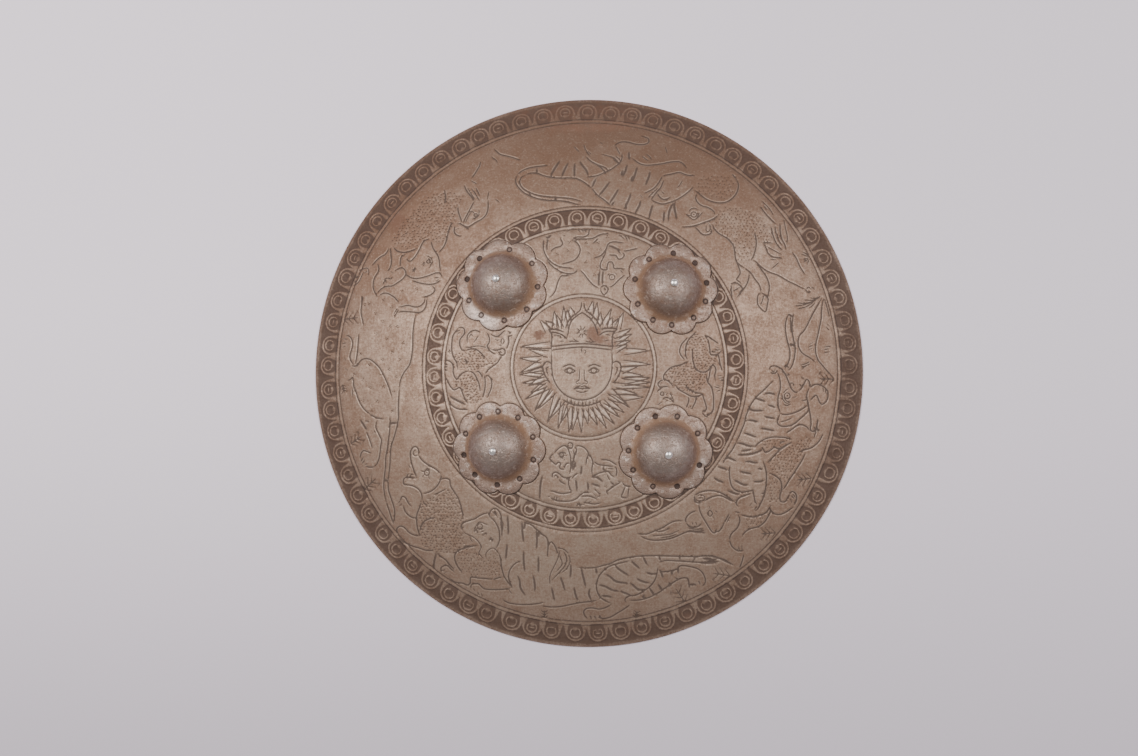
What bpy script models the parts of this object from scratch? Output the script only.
"""A sipar: a round, domed steel shield lying rim down, with four petalled bosses.

The dish is one sheet raised to part of a sphere. Its outer face carries a bead ring inside the
edge border, two bead rings round the inner border, and one round the middle medallion. Each boss
is one raised piece, a hollow dome with a scalloped flange, and one round-headed pin holds it to
the dish.

Frame: metres, +Z up, origin at the middle of the rim's flat underside. The dome points up +Z, and
+Y is the side of the shield that is up when it hangs.
"""

import math

import bmesh
import bpy
from mathutils import Matrix, Vector

# Dish
RIM_RADIUS = 0.230
DOME_RISE = 0.065
EDGE_HEIGHT = 0.0010
SHEET = 0.0016
DISH_STEPS = 60
FIELD_STEPS = 3
OUTER_FIELD_STEPS = 5
INSIDE_STEPS = 9
DISH_STEEL = (0.30, 0.235, 0.19)
DISH_ROUGHNESS = 0.45

# Chasing on the dish: everything is cut below the smooth sphere, and the beads stand back up to it.
GROUND_DEPTH = 0.0004
GROOVE_DEPTH = 0.0004
BEAD_HALF_WIDTH = 0.0012
GROOVE_WIDTH = 0.0011
EDGE_STRIP = 0.0024
EDGE_BEAD_RADIUS = 0.2100
BORDER_OUTER_RADIUS = 0.1326
BORDER_INNER_RADIUS = 0.1162
MEDALLION_RADIUS = 0.0584

# Bosses, one in each quarter
BOSS_CIRCLE_RADIUS = 0.0956
BOSS_SHEET = 0.0015
PETAL_TIP_RADIUS = 0.0386
PETAL_VALLEY_RADIUS = 0.0343
PETAL_POINTS = 4
BLANK_RADIUS = 0.0400
DOME_RADIUS = 0.0250
DOME_TOP = 0.0215
DOME_FOOT = 0.0008
FILLET_RADIUS = 0.0290
FILLET_BLEND = 0.25
FILLET_START_DEGREES = 24.0
DOME_STEPS = 4
DOME_INSIDE_STEPS = 3
BOSS_STEPS = 28
STAMP_BOTTOM = -0.010
STAMP_TOP = 0.030
BOSS_STEEL = (0.36, 0.30, 0.26)
BOSS_ROUGHNESS = 0.35

# Pins
PIN_HEAD_RADIUS = 0.0033
PIN_HEAD_HEIGHT = 0.0022
PIN_SHANK_RADIUS = 0.0018
PIN_BORE_RADIUS = 0.0021
PEEN_RADIUS = 0.0040
PEEN_HEIGHT = 0.0012
PIN_STEPS = 10
PIN_HEAD_STEPS = 4
DRILL_REACH = 0.010
PIN_STEEL = (0.62, 0.58, 0.54)
PIN_ROUGHNESS = 0.25

GAP = 0.0003
MERGE = 0.00001

# Name, bearing on the dish, number of petals and bearing of one valley between petals, in degrees
BOSSES = (
    ("upper_right", 42.0, 10, -17.5),
    ("upper_left", 134.5, 9, -2.0),
    ("lower_left", 223.5, 10, -21.0),
    ("lower_right", 314.0, 9, -22.5),
)

# The sphere of the dish's smooth outer face
SPHERE_RISE = DOME_RISE - EDGE_HEIGHT
SPHERE_RADIUS = (RIM_RADIUS**2 + SPHERE_RISE**2) / (2 * SPHERE_RISE)
SPHERE_CENTRE = DOME_RISE - SPHERE_RADIUS


def clear_scene():
    """Remove everything that a new file holds."""
    for thing in list(bpy.data.objects):
        bpy.data.objects.remove(thing, do_unlink=True)
    for group in list(bpy.data.collections):
        bpy.data.collections.remove(group)


def new_collection(name):
    """Return a new collection linked to the scene."""
    group = bpy.data.collections.new(name)
    bpy.context.scene.collection.children.link(group)
    return group


def steel(name, colour, roughness):
    """Return a metal material of one colour and roughness."""
    material = bpy.data.materials.new(name)
    material.use_nodes = True
    shader = material.node_tree.nodes["Principled BSDF"]
    shader.inputs["Base Color"].default_value = (*colour, 1.0)
    shader.inputs["Roughness"].default_value = roughness
    shader.inputs["Metallic"].default_value = 1.0
    return material


def sphere_height(radius, offset):
    """Return the height, over the rim's underside, of the sphere moved out by offset."""
    return SPHERE_CENTRE + math.sqrt((SPHERE_RADIUS + offset) ** 2 - radius**2)


def steps_between(start, stop, count):
    """Return count evenly spaced values that lie strictly between start and stop."""
    return [start + (stop - start) * k / (count + 1) for k in range(1, count + 1)]


def turned(name, profile, closed, steps, group):
    """Return an object turned about Z from (radius, height) points that run down its outer side."""
    mesh = bpy.data.meshes.new(name)
    count = len(profile)
    edges = [(k, (k + 1) % count) for k in range(count if closed else count - 1)]
    mesh.from_pydata([(radius, 0.0, height) for radius, height in profile], edges, [])
    thing = bpy.data.objects.new(name, mesh)
    group.objects.link(thing)
    screw = thing.modifiers.new("turn", "SCREW")
    screw.steps = steps
    screw.render_steps = steps
    screw.use_merge_vertices = True
    screw.merge_threshold = MERGE
    screw.use_smooth_shade = True
    return thing


def cut(thing, cutter, operation):
    """Add a Boolean with the cutter, which is shown as wire and left out of the object."""
    boolean = thing.modifiers.new(operation.lower(), "BOOLEAN")
    boolean.operation = operation
    boolean.solver = "EXACT"
    boolean.object = cutter
    cutter.hide_render = True
    cutter.display_type = "WIRE"


def prism(name, outline, low, high, group):
    """Return an upright prism on a flat outline of (x, y) points."""
    shape = bmesh.new()
    base = shape.faces.new([shape.verts.new((x, y, low)) for x, y in outline])
    base.normal_flip()
    grown = bmesh.ops.extrude_face_region(shape, geom=[base], use_keep_orig=True)
    top = [item for item in grown["geom"] if isinstance(item, bmesh.types.BMVert)]
    bmesh.ops.translate(shape, vec=(0.0, 0.0, high - low), verts=top)
    bmesh.ops.recalc_face_normals(shape, faces=shape.faces)
    mesh = bpy.data.meshes.new(name)
    shape.to_mesh(mesh)
    shape.free()
    thing = bpy.data.objects.new(name, mesh)
    group.objects.link(thing)
    return thing


def dish_profile():
    """Return the dish's section: down the chased outer face, under the rim, up the smooth inside."""
    points = []

    def at(radius, depth=0.0):
        points.append((radius, sphere_height(radius, -depth)))

    def sweep(start, stop, count, depth=0.0):
        for radius in steps_between(start, stop, count):
            at(radius, depth)

    bead = BEAD_HALF_WIDTH
    side = BEAD_HALF_WIDTH + GROOVE_WIDTH
    medallion_in = MEDALLION_RADIUS - side - GROOVE_WIDTH
    medallion_out = MEDALLION_RADIUS + side + GROOVE_WIDTH
    border_in = BORDER_INNER_RADIUS - side - GROOVE_WIDTH
    border_out = BORDER_OUTER_RADIUS + side + GROOVE_WIDTH
    field_out = EDGE_BEAD_RADIUS - side - GROOVE_WIDTH
    strip_in = RIM_RADIUS - EDGE_STRIP

    points.append((0.0, DOME_RISE))
    sweep(0.0, medallion_in, FIELD_STEPS)
    at(medallion_in)
    at(MEDALLION_RADIUS - side, GROOVE_DEPTH)
    at(MEDALLION_RADIUS)
    at(MEDALLION_RADIUS + side, GROOVE_DEPTH)
    at(medallion_out)
    sweep(medallion_out, border_in, FIELD_STEPS)
    at(border_in)
    at(BORDER_INNER_RADIUS - side, GROOVE_DEPTH)
    at(BORDER_INNER_RADIUS)
    at(BORDER_INNER_RADIUS + bead, GROUND_DEPTH)
    at(BORDER_OUTER_RADIUS - bead, GROUND_DEPTH)
    at(BORDER_OUTER_RADIUS)
    at(BORDER_OUTER_RADIUS + side, GROOVE_DEPTH)
    at(border_out)
    sweep(border_out, field_out, OUTER_FIELD_STEPS)
    at(field_out)
    at(EDGE_BEAD_RADIUS - side, GROOVE_DEPTH)
    at(EDGE_BEAD_RADIUS)
    at(EDGE_BEAD_RADIUS + bead, GROUND_DEPTH)
    at(strip_in - bead, GROUND_DEPTH)
    at(strip_in)
    points.append((RIM_RADIUS, EDGE_HEIGHT))
    points.append((RIM_RADIUS, 0.0))

    inner_radius = SPHERE_RADIUS - SHEET
    rim_inside = math.sqrt(inner_radius**2 - SPHERE_CENTRE**2)
    points.append((rim_inside, 0.0))
    sweep(rim_inside, 0.0, INSIDE_STEPS, SHEET)
    points.append((0.0, DOME_RISE - SHEET))
    return points


def boss_profile():
    """Return a boss's section about its own axis, with Z = 0 on the dish's smooth outer face."""

    def seat(radius, offset):
        return sphere_height(radius, offset) - DOME_RISE

    def dome(radius, height, turn):
        return (radius * math.cos(turn), DOME_FOOT + height * math.sin(turn))

    lowest = math.radians(FILLET_START_DEGREES)
    top_turn = math.acos(PIN_BORE_RADIUS / DOME_RADIUS)
    dome_rise = DOME_TOP - DOME_FOOT
    flange_top = GAP + BOSS_SHEET
    points = [dome(DOME_RADIUS, dome_rise, top_turn)]
    points += [
        dome(DOME_RADIUS, dome_rise, turn) for turn in steps_between(top_turn, lowest, DOME_STEPS)
    ]
    points.append(dome(DOME_RADIUS, dome_rise, lowest))
    fillet_start = points[-1]
    blend_radius = DOME_RADIUS + FILLET_BLEND * (FILLET_RADIUS - DOME_RADIUS)
    blend_height = seat(DOME_RADIUS, flange_top) + FILLET_BLEND * fillet_start[1]
    points.append((blend_radius, blend_height))
    for radius in (FILLET_RADIUS, BLANK_RADIUS):
        points.append((radius, seat(radius, flange_top)))

    inner_radius = DOME_RADIUS - BOSS_SHEET
    inner_rise = dome_rise - BOSS_SHEET
    inner_top = math.acos(PIN_BORE_RADIUS / inner_radius)
    points += [(radius, seat(radius, GAP)) for radius in (BLANK_RADIUS, DOME_RADIUS)]
    points += [
        dome(inner_radius, inner_rise, turn)
        for turn in steps_between(0.0, inner_top, DOME_INSIDE_STEPS)
    ]
    points.append(dome(inner_radius, inner_rise, inner_top))
    return points


def petal_outline(count, valley_bearing):
    """Return the scalloped outline: one round arc to each petal, meeting in sharp valleys."""
    half = math.pi / count
    arc_centre = (PETAL_TIP_RADIUS**2 - PETAL_VALLEY_RADIUS**2) / (
        2 * (PETAL_TIP_RADIUS - PETAL_VALLEY_RADIUS * math.cos(half))
    )
    arc_radius = PETAL_TIP_RADIUS - arc_centre
    reach = math.atan2(
        PETAL_VALLEY_RADIUS * math.sin(half), PETAL_VALLEY_RADIUS * math.cos(half) - arc_centre
    )
    outline = []
    for petal in range(count):
        middle = math.radians(valley_bearing) + half * (2 * petal + 1)
        for step in range(PETAL_POINTS):
            turn = reach * (2 * step / PETAL_POINTS - 1)
            x = arc_centre + arc_radius * math.cos(turn)
            y = arc_radius * math.sin(turn)
            outline.append(
                (x * math.cos(middle) - y * math.sin(middle), x * math.sin(middle) + y * math.cos(middle))
            )
    return outline


def pin_profile():
    """Return a pin's section: round head, shank through boss and dish, peened end under the dish."""
    head_seat = DOME_TOP + GAP
    peen_top = -(SHEET + GAP) - PEEN_RADIUS**2 / SPHERE_RADIUS
    head = [
        (PIN_HEAD_RADIUS * math.sin(turn), head_seat + PIN_HEAD_HEIGHT * math.cos(turn))
        for turn in [k * math.pi / (2 * PIN_HEAD_STEPS) for k in range(PIN_HEAD_STEPS + 1)]
    ]
    return head + [
        (PIN_SHANK_RADIUS, head_seat),
        (PIN_SHANK_RADIUS, peen_top),
        (PEEN_RADIUS, peen_top),
        (PEEN_RADIUS, peen_top - PEEN_HEIGHT),
        (0.0, peen_top - PEEN_HEIGHT),
    ]


def seat_matrix(bearing):
    """Return the frame of a boss: its origin on the sphere and its Z along the sphere's normal."""
    turn = math.radians(bearing)
    lean = math.asin(BOSS_CIRCLE_RADIUS / SPHERE_RADIUS)
    tilt = Matrix.Rotation(turn, 4, "Z") @ Matrix.Rotation(lean, 4, "Y") @ Matrix.Rotation(-turn, 4, "Z")
    origin = Vector((0.0, 0.0, SPHERE_CENTRE)) + tilt.to_3x3() @ Vector((0.0, 0.0, SPHERE_RADIUS))
    return Matrix.Translation(origin) @ tilt


def make_dish(group, cutters):
    """Build the dish and drill it for the four pins."""
    dish = turned("dish", dish_profile(), False, DISH_STEPS, group)
    dish.data.materials.append(steel("dish_steel", DISH_STEEL, DISH_ROUGHNESS))
    drill_profile = [
        (0.0, DRILL_REACH),
        (PIN_BORE_RADIUS, DRILL_REACH),
        (PIN_BORE_RADIUS, -DRILL_REACH),
        (0.0, -DRILL_REACH),
    ]
    for name, bearing, _, _ in BOSSES:
        drill = turned("drill_" + name, drill_profile, False, PIN_STEPS, cutters)
        drill.matrix_world = seat_matrix(bearing)
        cut(dish, drill, "DIFFERENCE")


def make_bosses(group, cutters):
    """Build the four bosses, each a turned shell cut to its petals."""
    finish = steel("boss_steel", BOSS_STEEL, BOSS_ROUGHNESS)
    for name, bearing, petals, valley in BOSSES:
        place = seat_matrix(bearing)
        boss = turned("boss_" + name, boss_profile(), True, BOSS_STEPS, group)
        boss.matrix_world = place
        boss.data.materials.append(finish)
        outline = petal_outline(petals, valley)
        stamp = prism("stamp_" + name, outline, STAMP_BOTTOM, STAMP_TOP, cutters)
        stamp.matrix_world = place
        cut(boss, stamp, "INTERSECT")


def make_pins(group):
    """Build the four pins, which share one mesh."""
    finish = steel("pin_steel", PIN_STEEL, PIN_ROUGHNESS)
    first = None
    for name, bearing, _, _ in BOSSES:
        pin = turned("pin_" + name, pin_profile(), False, PIN_STEPS, group)
        if first is None:
            first = pin.data
            first.materials.append(finish)
        else:
            spare = pin.data
            pin.data = first
            bpy.data.meshes.remove(spare)
        pin.matrix_world = seat_matrix(bearing)


def main():
    """Build the shield."""
    clear_scene()
    shield = new_collection("sipar")
    cutters = new_collection("cutters")
    make_dish(shield, cutters)
    make_bosses(shield, cutters)
    make_pins(shield)


main()
